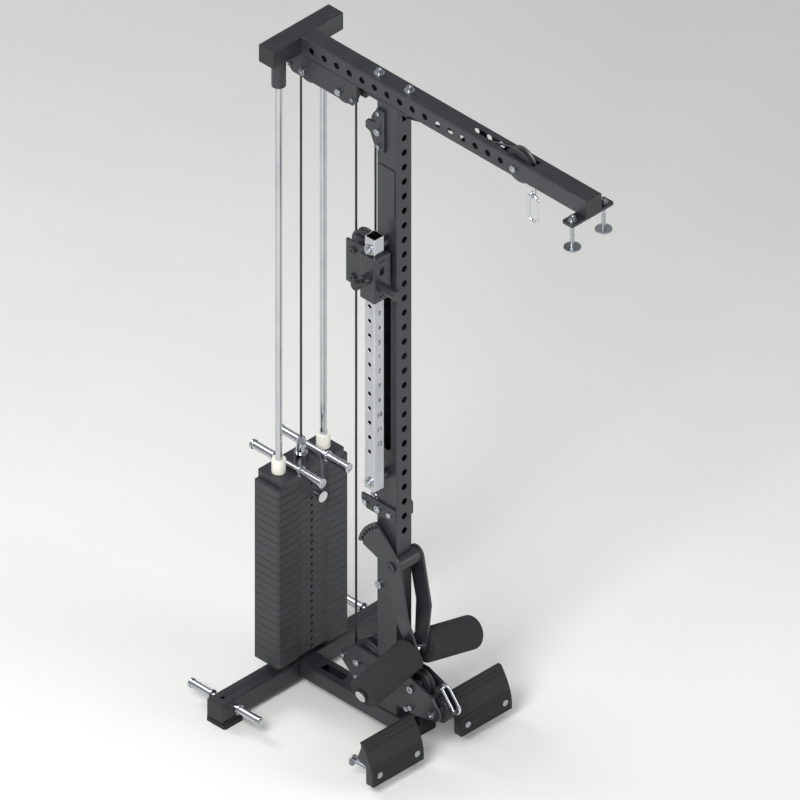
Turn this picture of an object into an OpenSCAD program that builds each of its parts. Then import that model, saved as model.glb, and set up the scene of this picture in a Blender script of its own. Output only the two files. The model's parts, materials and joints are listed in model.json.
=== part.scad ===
// Lat pulldown and low row tower that bolts to a training rack.
// Millimetres. +Z up, the user sits on the -Y side, X = 0 is the middle plane.
// Lengths forward of the weight stack's centre are called reach and lie along -Y.

/* [Frame] */
// Height of the boom's top face above the floor
top_h = 2228; // [1900:1:2400]
// Side of the square tube of the boom and the crossbars
tube = 60; // [50:1:70]
// Wall of every tube
wall = 3; // [2:0.5:4]
// Reach of the boom's front end
boom_reach = 1161; // [1120:1:1400]
// Reach of the upright's centre plane
upright_reach = 371; // [365:1:377]
// Depth of the upright, front to back
upright_d = 80; // [76:1:84]
// Height of the base tubes' top face
base_h = 80; // [74:1:90]
// Length of the base crossbar with its caps
base_len = 685; // [600:1:800]
// Length of the top crossbar with its caps
head_bar_len = 275; // [250:1:400]
// Width of the base spine
spine_w = 70; // [60:1:76]
// Height of the base spine
spine_h = 50; // [40:1:54]
// Reach of the spine's front end
spine_reach = 445; // [430:1:470]
// Thickness of a tube's end cap
cap_t = 3; // [2:0.5:6]
// Thickness of the steel side plates
plate_s = 8; // [6:0.5:9]
// Spacing of the rack holes
hole_pitch = 50; // [45:1:55]
// Diameter of the rack holes
hole_d = 21; // [16:0.5:25]

/* [Weight stack] */
// Width of a weight plate
stack_w = 280; // [240:1:340]
// Depth of a weight plate
stack_d = 100; // [90:1:120]
// Thickness of a weight plate
stack_t = 25.4; // [20:0.1:26]
// Number of weight plates
stack_n = 24; // [12:1:25]
// Plates above the selector pin
lifted_n = 3; // [1:1:6]
// Distance of a guide rod from the middle plane
rod_x = 88.5; // [80:0.5:100]
// Diameter of a guide rod
rod_d = 20; // [16:0.5:25]
// Height of the rubber bumper under the stack
bumper_h = 33; // [25:1:45]
// Thickness of the head plate
head_t = 25; // [20:0.5:35]
// Diameter of the selector stem
stem_d = 24; // [20:0.5:28]
// Diameter of the selector pin
pin_d = 10; // [8:0.5:11]

/* [Cable and pulleys] */
// Diameter of the coated cable
cable_d = 7; // [5:0.5:8]
// Radius of the cable's run on the two large pulleys
big_r = 48; // [44:0.5:50]
// Radius of the cable's run on the other pulleys
small_r = 38.5; // [36:0.5:41]
// Width of a pulley
pulley_w = 22; // [18:0.5:26]
// Diameter of a pulley's axle
axle_d = 12; // [10:0.5:14]

/* [Adjustable rail] */
// Side of the rail's square tube
rail = 40; // [36:1:44]
// Distance of the rail's centre from the middle plane
rail_x = 79; // [76:0.5:84]
// Height of the rail's lower end
rail_z = 874; // [840:1:900]
// Length of the rail
rail_len = 866; // [800:1:900]
// Height of the carriage sleeve's lower end
carriage_z = 1531; // [1500:1:1532]
// Length of the carriage sleeve
carriage_len = 150; // [130:1:170]

/* [Leg hold] */
// Height of the lever's pivot
pivot_z = 604; // [590:1:620]
// Outer diameter of the pivot tube
pivot_d = 50; // [44:1:52]
// Length of the pivot tube
pivot_len = 85; // [80:1:92]
// Height of the roller bar below the pivot
lever_drop = 280; // [240:1:300]
// Reach of the roller bar in front of the pivot
lever_fwd = 51; // [30:1:70]
// Diameter of a foam roller
roller_d = 100; // [80:1:110]
// Length of a foam roller
roller_len = 200; // [160:1:240]
// Droop of a roller's axis from level, in degrees
roller_tilt = 14; // [8:1:16]
// Radius of the sector's row of holes
sector_r = 123; // [116:1:126]

/* [Foot plates] */
// Width of a foot plate
foot_w = 200; // [160:1:240]
// Distance of a foot plate's centre from the middle plane
foot_x = 175; // [150:1:220]
// Height of a foot plate's lower edge
foot_z = 32; // [20:1:60]
// Height of a foot plate
foot_h = 130; // [110:1:160]
// Reach of a foot plate's face
foot_reach = 560; // [550:1:600]

/* [Hidden] */
$fn = 40;
gap = 0.3;
fit = 0.05;
cr = cable_d / 2;
groove_gap = 0.8;
rim = 7;
bolt_t = 8;
peg_reach = 140;
shift = (boom_reach + cap_t - peg_reach) / 2;

half = tube / 2;
boom_z = top_h - half;
boom_low = top_h - tube;
up_rear = upright_reach - upright_d / 2;
up_front = upright_reach + upright_d / 2;
top_plate_t = 8;
up_top = boom_low - top_plate_t;
side_x = half + plate_s / 2;
side_out = half + plate_s;

stack_z = base_h + bumper_h;
stack_top = stack_z + stack_n * stack_t;
head_top = stack_top + head_t;
lift_z = stack_z + (stack_n - lifted_n) * stack_t;
pin_z = lift_z + stack_t / 2;
selector_d = 11;
socket_low = boom_low - 91;
terminal_z = head_top + 78;

strand_rear = 219;
carriage_f = strand_rear + small_r;
strand_front = carriage_f + small_r;
top_pulley_z = boom_low - 54;
top_front_f = strand_rear - small_r;
mid_f = strand_front + big_r;
mid_z = boom_low - 106;
front_f = 876;
lat_f = front_f + big_r;
slope = atan2(boom_z - mid_z, front_f - mid_f);
upper_z = carriage_z + 87;
lower_z = upper_z - 2 * small_r - 15;
low_r = 43;
tip_r = 30;
low_f = strand_rear + low_r;
low_z = 197;
duct_f = 476;
duct_z = 211;
tip_f = 560;
tip_z = 164;
low_slope = atan2(duct_z - low_z, duct_f - low_f);
low_ball = [546, 222];
exit_a = 316;
split_high = 2000;
split_low = 800;
lead = 1;
anchor_z = 767;
ball_d = 26;
lat_ball_z = boom_low - 18;

pivot_f = up_front;
pivot_bolt = 16;
arm_t = 8;
arm_x = pivot_len / 2 + gap + arm_t / 2;
bend_z = pivot_z - 152;
bar_f = pivot_f + lever_fwd;
bar_z = pivot_z - lever_drop;
bar_d = 25;
bar_drop = (bend_z - bar_z) / cos(roller_tilt);
sector_out = sector_r + 14;
lock_a = -56;
lock_f = pivot_f - sector_r * cos(lock_a);
lock_z = pivot_z + sector_r * sin(lock_a);
lock_d = 9;

slot_low = 977;
slot_high = 1624;
rack_hole_low = 705;
rack_holes = 28;
boom_hole_first = 71;
boom_holes = 16;
rail_hole_low = 1005.5;
rail_holes = 14;
rail_pin_z = 1605.5;
rail_bolt = [900, 1700];
sleeve = rail + 20;
foot_block = base_h - tube;
rod_off = 74;
rod_z = 63;
peg_z = base_h - 22;
peg_x = base_len / 2 - 44;
peg_d = 25;
head_peg_x = 53;
head_peg_z = head_top + 8.8;
plate_gap = 0.2;

// Moves its children to a reach, a height and a place across the machine
module at(f, z, x = 0) {
  translate([x, shift - f, z]) children();
}
module rounded(a, b, r = 4) {
  square([a - 2 * r, b], center = true);
  square([a, b - 2 * r], center = true);
  for (i = [-1, 1], j = [-1, 1]) translate([i * (a / 2 - r), j * (b / 2 - r)]) circle(r, $fn = 24);
}
module box_section(a, b) {
  difference() {
    rounded(a, b);
    square([a - 2 * wall, b - 2 * wall], center = true);
  }
}
module tube_x(len, a, b) {
  rotate([90, 0, 90]) linear_extrude(len, center = true) box_section(a, b);
}
module tube_y(len, a, b) {
  rotate([90, 0, 0]) linear_extrude(len, center = true) box_section(a, b);
}
module tube_z(len, a, b) {
  linear_extrude(len, center = true) box_section(a, b);
}
module rod_along_x(d, len) {
  rotate([0, 90, 0]) cylinder(d = d, h = len, center = true);
}
module rod_along_y(d, len) {
  rotate([90, 0, 0]) cylinder(d = d, h = len, center = true);
}
module pair() {
  for (s = [0, 1]) mirror([s, 0, 0]) children();
}
// A plate whose outline is drawn in reach and height, centred across at x
module side_plate(x, t) {
  translate([x, shift, 0]) rotate([90, 0, -90]) linear_extrude(t, center = true) children();
}
function arc(f, z, r, a, b, n) =
  [for (i = [0:n]) [f + r * cos(a + (b - a) * i / n), z + r * sin(a + (b - a) * i / n)]];
// Screw head that lies on a face, its socket outwards along +Z
module screw_head(d = 20, t = 8) {
  difference() {
    cylinder(d = d, h = t);
    translate([0, 0, t - 3]) cylinder(d = d * 0.5, h = 4, $fn = 6);
  }
}
module head_x(s, f, z, x, d = 20, t = 8) {
  at(f, z, s * x) rotate([0, s * 90, 0]) screw_head(d, t);
}
module axle(f, z, half_in, half_out) {
  at(f, z) rod_along_x(axle_d, 2 * half_out);
  for (s = [-1, 1]) at(f, z, s * (half_in + pulley_w / 2 + gap) / 2)
    rod_along_x(axle_d + 8, half_in - pulley_w / 2 - gap);
  for (s = [-1, 1]) head_x(s, f, z, half_out, 22, bolt_t);
}
module sheave(r) {
  rotate([0, 90, 0]) rotate_extrude($fn = 64) difference() {
    polygon([[axle_d / 2 + fit, -pulley_w / 2], [axle_d / 2 + 6, -pulley_w / 2], [axle_d / 2 + 8, -pulley_w / 2 + 4],
      [r - 14, -pulley_w / 2 + 4], [r - 11, -pulley_w / 2], [r + rim, -pulley_w / 2],
      [r + rim, 2 - pulley_w / 2], [r, -cr - groove_gap], [r, cr + groove_gap], [r + rim, pulley_w / 2 - 2],
      [r + rim, pulley_w / 2], [r - 11, pulley_w / 2], [r - 14, pulley_w / 2 - 4],
      [axle_d / 2 + 8, pulley_w / 2 - 4], [axle_d / 2 + 6, pulley_w / 2], [axle_d / 2 + fit, pulley_w / 2]]);
    translate([r, 0]) circle(r = cr + groove_gap, $fn = 24);
  }
}
// Cable along points of reach and height in one plane
module cable(p, r = cr, n = 8) {
  m = len(p);
  dir = [for (i = [0:m - 1]) let (a = p[max(i - 1, 0)], b = p[min(i + 1, m - 1)]) (b - a) / norm(b - a)];
  pts = [for (i = [0:m - 1], k = [0:n - 1]) let (c = r * cos(k * 360 / n), s = r * sin(k * 360 / n))
    [c, shift - p[i][0] + s * dir[i][1], p[i][1] + s * dir[i][0]]];
  side = [for (i = [0:m - 2], k = [0:n - 1]) let (q = (k + 1) % n) [i * n + k, i * n + n + k, i * n + n + q, i * n + q]];
  polyhedron(pts, concat([[for (k = [0:n - 1]) k]], side, [[for (k = [n - 1:-1:0]) (m - 1) * n + k]]), convexity = 6);
}
module strand(f, low, high) {
  at(f, low) cylinder(d = cable_d, h = high - low);
}

module base_crossbar() color("#202224") difference() {
  at(0, base_h - half) tube_x(base_len - 2 * cap_t, tube, tube);
  for (s = [-1, 1]) at(0, base_h - wall - 1, s * (base_len / 2 - 32)) cylinder(d = 13, h = wall + 2);
}
module tube_end_caps() color("#141516") {
  for (s = [-1, 1]) at(0, base_h - half, s * (base_len - cap_t) / 2)
    rotate([90, 0, 90]) linear_extrude(cap_t, center = true) rounded(tube, tube);
  for (s = [-1, 1]) at(0, boom_z, s * (head_bar_len - cap_t) / 2)
    rotate([90, 0, 90]) linear_extrude(cap_t, center = true) rounded(tube, tube);
  at(boom_reach + cap_t / 2, boom_z) rotate([90, 0, 0]) linear_extrude(cap_t, center = true) rounded(tube, tube);
}
module rear_feet() color("#18191a") for (s = [-1, 1]) at(0, 0, s * (base_len / 2 - 40)) {
  linear_extrude(foot_block * 0.7) rounded(76, 76, 8);
  linear_extrude(foot_block) rounded(68, 68, 6);
}
module base_spine() color("#202224") difference() {
  at((half + spine_reach) / 2, base_h - spine_h / 2) tube_y(spine_reach - half, spine_w, spine_h);
  at(133, base_h - wall - 1) linear_extrude(wall + 2) square([26, 85], center = true);
}
module front_foot() color("#18191a") at(spine_reach - 24, 0)
  linear_extrude(base_h - spine_h) rounded(190, 48, 8);

module upright() color("#202224") difference() {
  at(upright_reach, (base_h + up_top) / 2) tube_z(up_top - base_h, tube, upright_d);
  for (k = [0:rack_holes - 1]) at(up_front, rack_hole_low + k * hole_pitch) rod_along_y(hole_d, 4 * wall);
  side_plate(-half, 4 * wall) {
    translate([upright_reach - 16, slot_low + 16]) square([32, slot_high - slot_low - 32]);
    for (z = [slot_low + 16, slot_high - 16]) translate([upright_reach, z]) circle(r = 16);
  }
  at(up_rear, mid_z) cube([pulley_w + 8, 4 * wall, 2 * (big_r + rim) + 16], center = true);
  at(up_front, boom_z - (front_f - up_front) * tan(slope) + big_r / cos(slope)) cube([16, 4 * wall, 30], center = true);
  at(up_front, low_z - low_r + 8) cube([20, 4 * wall, 36], center = true);
  at(up_rear, low_z - low_r + 8) cube([20, 4 * wall, 36], center = true);
  at(pivot_f, pivot_z) rod_along_x(pivot_d + 2 * fit, tube + 2);
  for (s = [[mid_f, mid_z], [upright_reach, rail_bolt[0]], [upright_reach, rail_bolt[1]]])
    at(s[0], s[1]) rod_along_x(axle_d + 2 * fit, tube + 2);
  at(lock_f, lock_z, -half) rod_along_x(lock_d + 2 * fit, 4 * wall);
}
module upright_plates() color("#26282a") {
  at(upright_reach, up_top) linear_extrude(top_plate_t) rounded(tube, 160, 6);
  at(upright_reach, (1950 + 1783) / 2, -half - 1.5) rotate([90, 0, 90])
    linear_extrude(3, center = true) rounded(66, 167, 6);
}
module boom() color("#202224") difference() {
  at((half + boom_reach) / 2, boom_z) tube_y(boom_reach - half, tube, tube);
  for (k = [0:boom_holes - 1]) at(boom_hole_first + k * hole_pitch, boom_z) rod_along_x(hole_d, tube + 2);
  at(752, top_h) {
    cube([18, 110, 4 * wall], center = true);
    for (s = [-1, 1]) translate([0, s * 55, 0]) cylinder(d = 18, h = 4 * wall, center = true);
  }
  at(front_f, boom_z) cube([pulley_w + 8, 2 * (big_r + rim) + 18, tube + 2], center = true);
  at(front_f - 290, boom_low) cube([18, 110, 4 * wall], center = true);
  at(front_f, boom_z) rod_along_x(axle_d + 2 * fit, tube + 2);
}
module top_crossbar() color("#202224") at(0, boom_z) tube_x(head_bar_len - 2 * cap_t, tube, tube);
module rod_sockets() color("#202224") pair() at(0, socket_low, rod_x) difference() {
  cylinder(d = 42, h = boom_low - socket_low);
  translate([0, 0, -1]) cylinder(d = rod_d + 2 * fit, h = boom_low - socket_low - 9);
}
module guide_rods() color("#c9ccd0") pair() at(0, base_h, rod_x)
  cylinder(d = rod_d, h = boom_low - 10 - gap - base_h);
module stack_bumpers() color("#18191a") pair() at(0, base_h, rod_x) difference() {
  cylinder(d = 60, h = bumper_h);
  translate([0, 0, -1]) cylinder(d = rod_d + 2 * gap, h = bumper_h + 2);
}
function plate_outline(c) = let (w = stack_w / 2 - c, d = stack_d / 2 - c)
  [[-w + 6, -d], [-62, -d], [-56, 6 - d], [56, 6 - d], [62, -d], [w - 6, -d], [w, 6 - d], [w, d - 6],
    [w - 6, d], [6 - w, d], [-w, d - 6], [-w, 6 - d]];
module weight_plate() difference() {
  union() {
    linear_extrude(stack_t - plate_gap) polygon(plate_outline(1.5));
    translate([0, 0, 1.5]) linear_extrude(stack_t - plate_gap - 3) polygon(plate_outline(0));
  }
  for (s = [-1, 1]) translate([s * rod_x, 0, -1]) cylinder(d = rod_d + 5, h = stack_t + 2);
  translate([0, 0, -1]) cylinder(d = stem_d + 3, h = stack_t + 2);
  translate([0, -stack_d / 4, stack_t / 2]) rod_along_y(selector_d, stack_d / 2 + 2);
}
module weight_plates() color("#2b2d30") for (k = [0:stack_n - lifted_n - 1])
  at(0, stack_z + k * stack_t) weight_plate();
module lifted_plates() color("#2b2d30") for (k = [0:lifted_n - 1]) at(0, lift_z + k * stack_t) weight_plate();
module head_plate() color("#202224") at(0, stack_top) difference() {
  linear_extrude(head_t) rounded(stack_w - 30, stack_d, 8);
  for (s = [-1, 1]) translate([s * rod_x, 0, -1]) cylinder(d = 34, h = head_t + 2);
  translate([0, 0, -1]) cylinder(d = stem_d + 2 * fit, h = head_t + 2);
}
module rod_bushings() color("#e6e4dc") pair() at(0, stack_top, rod_x) difference() {
  union() {
    cylinder(d = 34 - 2 * fit, h = head_t + 1);
    translate([0, 0, head_t]) cylinder(d = 41, h = 44);
  }
  translate([0, 0, -1]) cylinder(d = rod_d + 0.16, h = head_t + 50);
}
module selector_stem() color("#b9bdc2") at(0, stack_z + 4) difference() {
  union() {
    cylinder(d = stem_d, h = head_top + 26 - stack_z - 4);
    translate([0, 0, head_top - stack_z - 4]) cylinder(d = 41, h = 24);
    translate([0, 0, head_top + 20 - stack_z - 4]) cylinder(d = 28, h = 40);
    translate([0, 0, head_top + 58 - stack_z - 4]) cylinder(d1 = 28, d2 = 14, h = 20, $fn = 32);
  }
  for (k = [0:stack_n - 1]) translate([0, 0, (k + 0.5) * stack_t - 4]) rod_along_y(selector_d, stem_d + 2);
}
module stack_band_pegs() color("#8d9196") pair() at(0, head_peg_z, head_peg_x) {
  rod_along_y(17.6, 2 * peg_reach - 4);
  for (s = [-1, 1]) translate([0, s * (51 + peg_reach) / 2, 0]) difference() {
    union() {
      rod_along_y(peg_d, peg_reach - 55);
      translate([0, -s * (peg_reach - 55) / 2, 0]) rod_along_y(peg_d + 6, 5);
      translate([0, s * (peg_reach - 61) / 2, 0]) rod_along_y(peg_d + 4, 8);
    }
    rod_along_y(17.8, peg_reach);
  }
}
module base_band_pegs() color("#8d9196") for (x = [-1, 1], s = [-1, 1]) at(0, peg_z, x * peg_x) {
  translate([0, s * (half + peg_reach) / 2, 0]) rod_along_y(17.6, peg_reach - half);
  translate([0, s * (half + 22 + peg_reach) / 2, 0]) difference() {
    union() {
      rod_along_y(peg_d, peg_reach - half - 26);
      translate([0, -s * (peg_reach - half - 26) / 2, 0]) rod_along_y(peg_d + 6, 5);
      translate([0, s * (peg_reach - half - 34) / 2, 0]) rod_along_y(peg_d + 4, 8);
    }
    rod_along_y(17.8, peg_reach);
  }
}
module selector_pin() color("#1b1c1e") at(0, pin_z) {
  translate([0, -(stack_d / 2 + 30) / 2 + 6, 0]) rod_along_y(pin_d, stack_d / 2 + 42);
  translate([0, -stack_d / 2 - 20, 0]) rod_along_y(26, 18);
  translate([0, -stack_d / 2 - 34, 0]) rod_along_y(34, 8);
}
// The curly lanyard winds round a guide line from the stem to the pin
tether_line = [[14.6, 800], [40, 802], [66, 800], [80, 789], [84, 765], [84, 735], [84, 705], [84, 676.7]];
tether_pitch = 5.5;
tether_coil = 3.2;
tether_wire = 2.2;
function ends(p) = [0, for (i = 1, s = norm(p[1] - p[0]); i < len(p); i = i + 1,
  s = s + (i < len(p) ? norm(p[i] - p[i - 1]) : 0)) s];
function along(p, e, s, i = 0) = i > len(p) - 3 || s <= e[i + 1]
  ? p[i] + (p[i + 1] - p[i]) * (s - e[i]) / (e[i + 1] - e[i]) : along(p, e, s, i + 1);
module pin_tether() color("#1b1c1e") {
  e = ends(tether_line);
  total = e[len(e) - 1];
  per = 8;
  m = floor(total / tether_pitch) * per;
  w = [for (i = [0:m]) let (s = total * i / m, a = along(tether_line, e, min(s + 6, total)),
    b = along(tether_line, e, max(s - 6, 0)), c = (a + b) / 2, t = (a - b) / norm(a - b),
    q = 360 * i / per, g = min(1, i / per, (m - i) / per) * tether_coil)
    [g * cos(q), c[0] - g * sin(q) * t[1], c[1] + g * sin(q) * t[0]]];
  least = min([for (i = [0:m - 5], j = [i + 5:m]) norm(w[i] - w[j])]) - tether_wire;
  echo(least_gap_of_the_lanyard = least);
  rings = [for (i = [0:m]) let (t0 = w[min(i + 1, m)] - w[max(i - 1, 0)], t = t0 / norm(t0),
    u0 = cross(t, [1, 0.01, 0.02]), u = u0 / norm(u0), v = cross(t, u), r = tether_wire / 2)
    for (k = [0:5]) let (d = w[i] + r * cos(60 * k) * u + r * sin(60 * k) * v) [d[0], shift - d[1], d[2]]];
  faces = [for (i = [0:m - 1], k = [0:5], h = [0, 1]) let (n = (k + 1) % 6, a = i * 6 + k, b = i * 6 + n)
    h == 0 ? [a, a + 6, b + 6] : [a, b + 6, b]];
  polyhedron(rings, concat([[for (k = [0:5]) k]], faces, [[for (k = [5:-1:0]) m * 6 + k]]));
}
module top_pulley_plates() color("#202224") for (s = [-1, 1]) difference() {
  side_plate(s * (half - plate_s / 2), plate_s)
    polygon([[-28, boom_low], [-28, top_pulley_z], [-4, top_pulley_z - 22], [234, top_pulley_z - 22],
      [251, top_pulley_z - 4], [251, boom_low]]);
  for (f = [small_r, top_front_f]) at(f, top_pulley_z) rod_along_x(axle_d + 2 * fit, tube + 2);
}
module mid_pulley_plates() color("#202224") for (s = [-1, 1]) difference() {
  side_plate(s * side_x, plate_s) translate([mid_f, mid_z])
    polygon([[24, 78], [-6, 78], [-12, 66], [-10, 26], [-44, 22], [-50, 14], [-50, -8], [-32, -14],
      [-18, -46], [-4, -62], [24, -62]]);
  at(mid_f, mid_z) rod_along_x(axle_d + 2 * fit, 2 * side_out + 2);
}
module cable_anchor_plates() color("#202224") for (s = [-1, 1]) difference() {
  side_plate(s * side_x, plate_s) translate([0, anchor_z])
    polygon([[278, 22], [402, 22], [408, 16], [408, -22], [300, -22], [278, 0]]);
  at(strand_front, anchor_z) rod_along_x(axle_d + 2 * fit, 2 * side_out + 2);
}
module low_pulley_plates() color("#202224") for (s = [-1, 1]) difference() {
  side_plate(s * side_x, plate_s)
    polygon(concat([[250, 248], [duct_f - 4, 248], [tip_f - 2, 217]], arc(tip_f - 2, tip_z + 6, 30, 60, -52, 8),
      [[491, 127], [245, 127], [240, 142], [196, 182], [196, 206]]));
  for (p = [[low_f, low_z], [duct_f, duct_z], [tip_f, tip_z]])
    at(p[0], p[1]) rod_along_x(axle_d + 2 * fit, 2 * side_out + 2);
}
module pulley_axles() color("#a9adb2") {
  for (f = [small_r, top_front_f]) axle(f, top_pulley_z, half - plate_s, half);
  axle(mid_f, mid_z, half - wall, side_out);
  axle(front_f, boom_z, half - wall, half);
  for (p = [[low_f, low_z], [duct_f, duct_z], [tip_f, tip_z]]) axle(p[0], p[1], half, side_out);
  at(strand_front, anchor_z) rod_along_x(axle_d, 2 * side_out);
  for (s = [-1, 1]) head_x(s, strand_front, anchor_z, side_out, 18, bolt_t);
}
module frame_bolts() color("#a9adb2") {
  for (f = [upright_reach - 60, upright_reach + 60]) at(f, top_h) {
    cylinder(d = 32, h = 3);
    translate([0, 0, 3]) screw_head(19, 11);
  }
  for (s = [-1, 1]) {
    for (f = [-14, 235]) head_x(s, f, top_pulley_z, half, 12, 6);
    for (z = [mid_z + 66, mid_z - 48]) head_x(s, mid_f + 4, z, side_out, 14, 7);
    head_x(s, 346, anchor_z, side_out, 22, bolt_t);
    head_x(s, 390, anchor_z, side_out, 16, 7);
    for (p = [[low_f - 53, low_z], [low_f, 148], [duct_f, 148], [460, 137], [upright_reach, 230]])
      head_x(s, p[0], p[1], side_out, 15, 7);
  }
  for (z = rail_bolt) {
    head_x(-1, upright_reach, z, rail_x + rail / 2, 34, 3);
    head_x(-1, upright_reach, z, rail_x + rail / 2 + 3, 19, 8);
  }
  at(lock_f, lock_z, -half - 4) difference() {
    rod_along_x(24, 8);
    rod_along_x(lock_d + 2 * fit, 10);
  }
}
clamp_f = boom_reach - 21;
clamp_x = 62;
clamp_bolt = 12;
module rack_clamp_plate() color("#202224") difference() {
  at(clamp_f, boom_low - plate_s) linear_extrude(plate_s) rounded(2 * clamp_x + 44, 42, 7);
  for (s = [-1, 1]) at(clamp_f, boom_low - plate_s - 1, s * clamp_x) cylinder(d = clamp_bolt + 1, h = plate_s + 2);
}
module rack_clamp_bolts() color("#a9adb2") pair() at(clamp_f, boom_low, clamp_x) {
  cylinder(d = 28, h = 2.5);
  translate([0, 0, 2.5]) screw_head(19, 11);
  translate([0, 0, -100]) cylinder(d = clamp_bolt, h = 100);
  translate([0, 0, -94]) cylinder(d = 50, h = 4);
}
module adjuster_rail() color("#c4c7cb") difference() {
  at(upright_reach, rail_z + rail_len / 2, -rail_x) tube_z(rail_len, rail, rail);
  for (k = [0:rail_holes - 1]) at(upright_reach, rail_hole_low + k * hole_pitch, -rail_x - rail / 2)
    rod_along_x(12.6, 4 * wall);
}
module rail_spacers() color("#202224") for (z = rail_bolt) at(upright_reach, z, -(half + rail_x - rail / 2) / 2)
  rod_along_x(30, rail_x - rail / 2 - half);
module pivot_tube() color("#202224") at(pivot_f, pivot_z) {
  difference() {
    rod_along_x(pivot_d, pivot_len);
    rod_along_x(pivot_bolt + 2 * fit, pivot_len + 2);
  }
  rod_along_x(pivot_bolt, 2 * (arm_x + arm_t / 2 + gap));
  for (s = [-1, 1]) translate([s * (arm_x + arm_t / 2 + gap), 0, 0]) rotate([0, s * 90, 0]) screw_head(30, 7);
}
module lower_arm(s) {
  translate([s * arm_x, 0, bend_z]) rotate([0, s * roller_tilt, 0]) children();
}
module lever_arms() color("#202224") for (s = [-1, 1]) difference() {
  union() {
    side_plate(s * arm_x, arm_t) translate([pivot_f, pivot_z]) polygon(concat(
      s == -1 ? [for (k = [0:10]) let (a = 62 - k * 4.9) [-sector_out * cos(a), sector_out * sin(a)]] : [],
      s == -1 ? [[-28, -6]] : [],
      [[3, bend_z - pivot_z], [59, bend_z - pivot_z]],
      s == -1 ? [[29, 18], [16, 36]] : [for (k = [0:10]) [29 * cos(20 + k * 17), 29 * sin(20 + k * 17)]]));
    lower_arm(s) rotate([90, 0, -90]) translate([-shift, 0, -arm_t / 2]) linear_extrude(arm_t)
      polygon(concat([[pivot_f + 3, 1.5], [pivot_f + 3, 0]], arc(bar_f, -bar_drop, 22, 180, 360, 10),
        [[pivot_f + 59, 0], [pivot_f + 59, 1.5]]));
  }
  at(pivot_f, pivot_z, s * arm_x) rod_along_x(pivot_bolt + 2 * fit, arm_t + 2);
  lower_arm(s) translate([0, shift - bar_f, -bar_drop]) rod_along_x(bar_d + 2 * fit, arm_t + 4);
  if (s == -1) for (k = [0:6]) let (a = 13 + 7.8 * k)
    at(pivot_f - sector_r * cos(a), pivot_z + sector_r * sin(a), -arm_x) rod_along_x(11, arm_t + 2);
}
roller_in = arm_t / 2 + 4;
bar_in = (arm_x - bar_drop * sin(roller_tilt)) / cos(roller_tilt);
module roller_bar() color("#c4c7cb") for (s = [-1, 1]) lower_arm(s) translate([0, shift - bar_f, -bar_drop]) {
  translate([s * (roller_in + roller_len + 5 - bar_in) / 2, 0, 0]) rod_along_x(bar_d, roller_in + roller_len + 5 + bar_in);
  translate([s * (arm_t / 2 + 1.5), 0, 0]) rod_along_x(bar_d + 14, 3);
  translate([s * (roller_in + roller_len + 5 + gap), 0, 0]) rod_along_x(bar_d + 12, 10);
}
module foam_roller(s) lower_arm(s) translate([s * (roller_in + roller_len / 2), shift - bar_f, -bar_drop])
  difference() {
    union() {
      rod_along_x(roller_d, roller_len - 2 * gap - 12);
      rod_along_x(roller_d - 12, roller_len - 2 * gap);
    }
    rod_along_x(bar_d + 2 * fit, roller_len + 2);
  }
module foam_roller_left() color("#1d1e20") foam_roller(-1);
module foam_roller_right() color("#1d1e20") foam_roller(1);
module lock_pin() color("#a9adb2") at(lock_f, lock_z) {
  translate([-24.5, 0, 0]) rod_along_x(lock_d, 33);
  translate([-10, 0, 0]) rod_along_x(14, 4);
}
// Front of a foot plate as reach and height, t = 0 at the top and 1 at the bottom
function foot_curve(t, back) = [foot_reach - 40 + 43 * t + 54 * t * (1 - t) - back, foot_z + foot_h * (1 - t)];
foot_steps = 10;
module foot_section(a, b) {
  polygon(concat([for (k = [0:foot_steps]) foot_curve(k / foot_steps, a)],
    [for (k = [foot_steps:-1:0]) foot_curve(k / foot_steps, b)]));
}
module foot_plates() color("#202224") for (s = [-1, 1]) difference() {
  union() {
    side_plate(s * foot_x, foot_w) foot_section(6, 12);
    for (e = [-1, 1]) side_plate(s * foot_x + e * (foot_w - 6) / 2, 6)
      polygon(concat([for (k = [0:foot_steps]) foot_curve(k / foot_steps, 8)],
        [[foot_reach - 26, foot_z], [foot_reach - 26, foot_z + 57], [foot_reach - 59, foot_z + 69],
          [foot_reach - 59, foot_z + 81], [foot_reach - 47, foot_z + 112]]));
    side_plate(s * foot_x, foot_w - 8) translate([foot_reach - 31, foot_z]) square([6, 57]);
  }
  for (e = [-1, 1]) at(foot_reach - 20, rod_z, s * foot_x + e * rod_off) rod_along_y(12 + 2 * fit, 80);
}
module foot_treads() color("#18191a") for (s = [-1, 1]) difference() {
  union() {
    side_plate(s * foot_x, foot_w) foot_section(0, 6);
    for (t = [0.06, 0.16, 0.56, 0.65, 0.74, 0.88, 0.96]) let (p = foot_curve(t, 0))
      at(p[0], p[1], s * foot_x) rod_along_x(5, foot_w - 14);
  }
  for (e = [-1, 1]) at(foot_reach, rod_z, s * foot_x + e * rod_off) rod_along_y(22, 60);
}
module foot_plate_rods() color("#a9adb2") for (s = [-1, 1], e = [-1, 1])
  at(foot_reach - 6, rod_z, s * foot_x + e * rod_off) {
    translate([0, 48, 0]) rod_along_y(12, 104);
    translate([0, 97, 0]) rod_along_y(34, 4);
    translate([0, -6.6, 0]) rod_along_y(20, 6);
  }
module lat_cable_run() color("#17181a") {
  cable(concat([[lat_f, boom_z - lead]], arc(front_f, boom_z, big_r, 0, 90 + slope, 7),
    arc(mid_f, mid_z, big_r, 90 + slope, 180, 5), [[strand_front, split_high]]));
  cable(concat([[strand_rear, split_high]], arc(top_front_f, top_pulley_z, small_r, 0, 90, 5),
    arc(small_r, top_pulley_z, small_r, 90, 180, 5), [[0, top_pulley_z - lead]]));
}
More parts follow.
